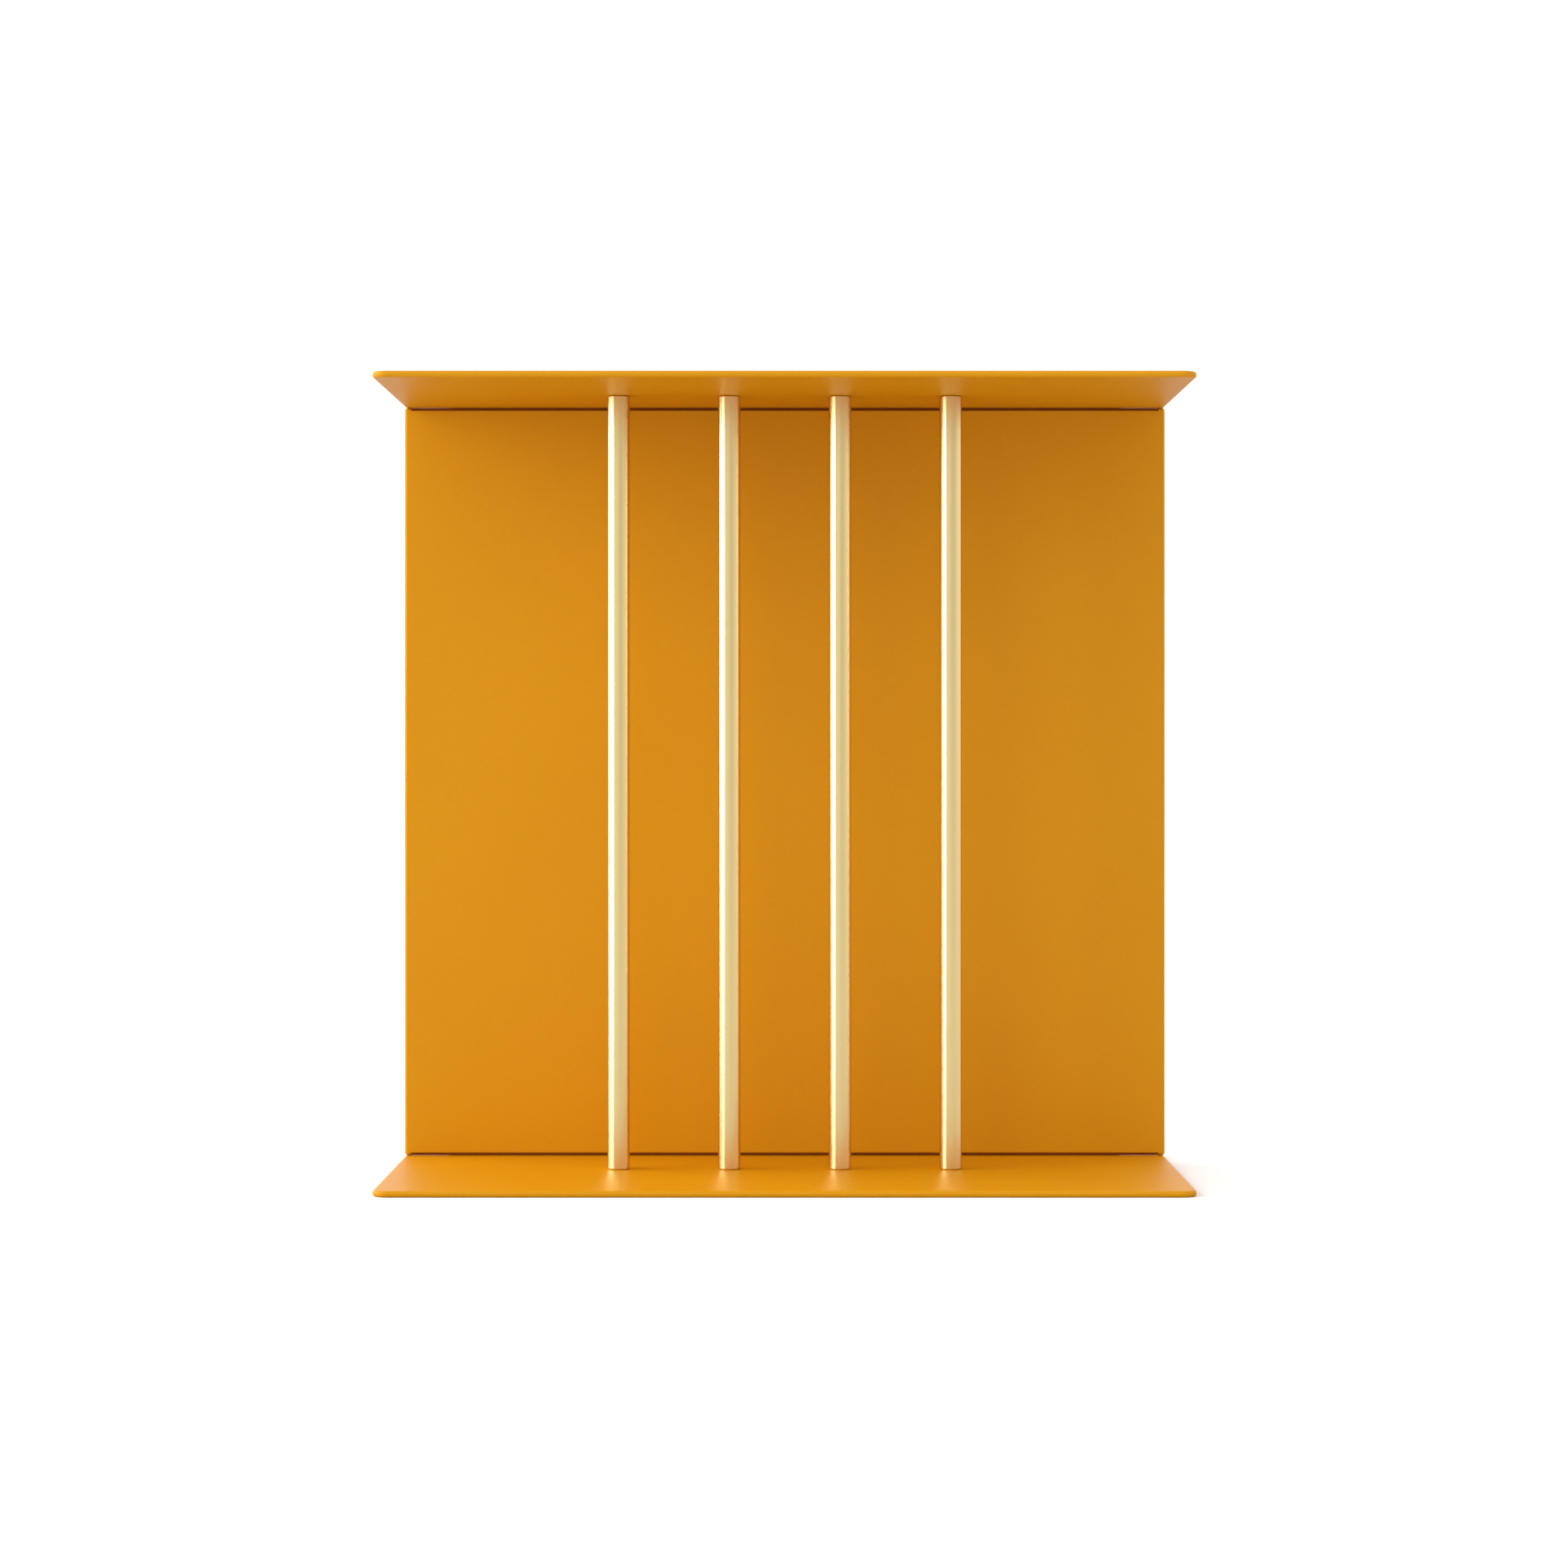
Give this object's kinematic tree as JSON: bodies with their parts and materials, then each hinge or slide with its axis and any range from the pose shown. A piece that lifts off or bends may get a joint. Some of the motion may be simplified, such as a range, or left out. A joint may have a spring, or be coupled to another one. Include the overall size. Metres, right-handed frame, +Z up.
{
  "type": "newspaper rack",
  "caption": "Open wall-hung or standing rack for newspapers and magazines: two sheet-metal plates, a back panel between them, and upright brass rods that keep the papers in.",
  "frame": {"origin": "centre of the underside of the lower plate, which is the middle of the footprint that the rack stands on", "axes": "+Z up along the rods, +Y towards the wall behind the rack, so the open front faces -Y, and +X to the right as seen from the front"},
  "size_m": [0.35, 0.17, 0.35],
  "materials": {
    "painted_steel": "satin",
    "brass": "polished",
    "zinc_plated_steel": "satin"
  },
  "bodies": {
    "root": {"top_plate": "painted_steel", "bottom_plate": "painted_steel", "back_panel": "painted_steel", "hanger_channel": "painted_steel", "lower_channel": "painted_steel", "rod_1": "brass", "rod_2": "brass", "rod_3": "brass", "rod_4": "brass", "rod_screw_top_1": "brass", "rod_screw_top_2": "brass", "rod_screw_top_3": "brass", "rod_screw_top_4": "brass", "rod_screw_bottom_1": "brass", "rod_screw_bottom_2": "brass", "rod_screw_bottom_3": "brass", "rod_screw_bottom_4": "brass", "panel_stud_top_1": "zinc_plated_steel", "panel_stud_top_2": "zinc_plated_steel", "panel_stud_top_3": "zinc_plated_steel", "panel_stud_bottom_1": "zinc_plated_steel", "panel_stud_bottom_2": "zinc_plated_steel", "panel_stud_bottom_3": "zinc_plated_steel", "panel_washer_top_1": "zinc_plated_steel", "panel_washer_top_2": "zinc_plated_steel", "panel_washer_top_3": "zinc_plated_steel", "panel_washer_bottom_1": "zinc_plated_steel", "panel_washer_bottom_2": "zinc_plated_steel", "panel_washer_bottom_3": "zinc_plated_steel", "panel_nut_top_1": "zinc_plated_steel", "panel_nut_top_2": "zinc_plated_steel", "panel_nut_top_3": "zinc_plated_steel", "panel_nut_bottom_1": "zinc_plated_steel", "panel_nut_bottom_2": "zinc_plated_steel", "panel_nut_bottom_3": "zinc_plated_steel", "plate_stud_top_1": "zinc_plated_steel", "plate_stud_top_2": "zinc_plated_steel", "plate_stud_bottom_1": "zinc_plated_steel", "plate_stud_bottom_2": "zinc_plated_steel", "plate_washer_top_1": "zinc_plated_steel", "plate_washer_top_2": "zinc_plated_steel", "plate_washer_bottom_1": "zinc_plated_steel", "plate_washer_bottom_2": "zinc_plated_steel", "plate_nut_top_1": "zinc_plated_steel", "plate_nut_top_2": "zinc_plated_steel", "plate_nut_bottom_1": "zinc_plated_steel", "plate_nut_bottom_2": "zinc_plated_steel"}
  },
  "joints": []
}
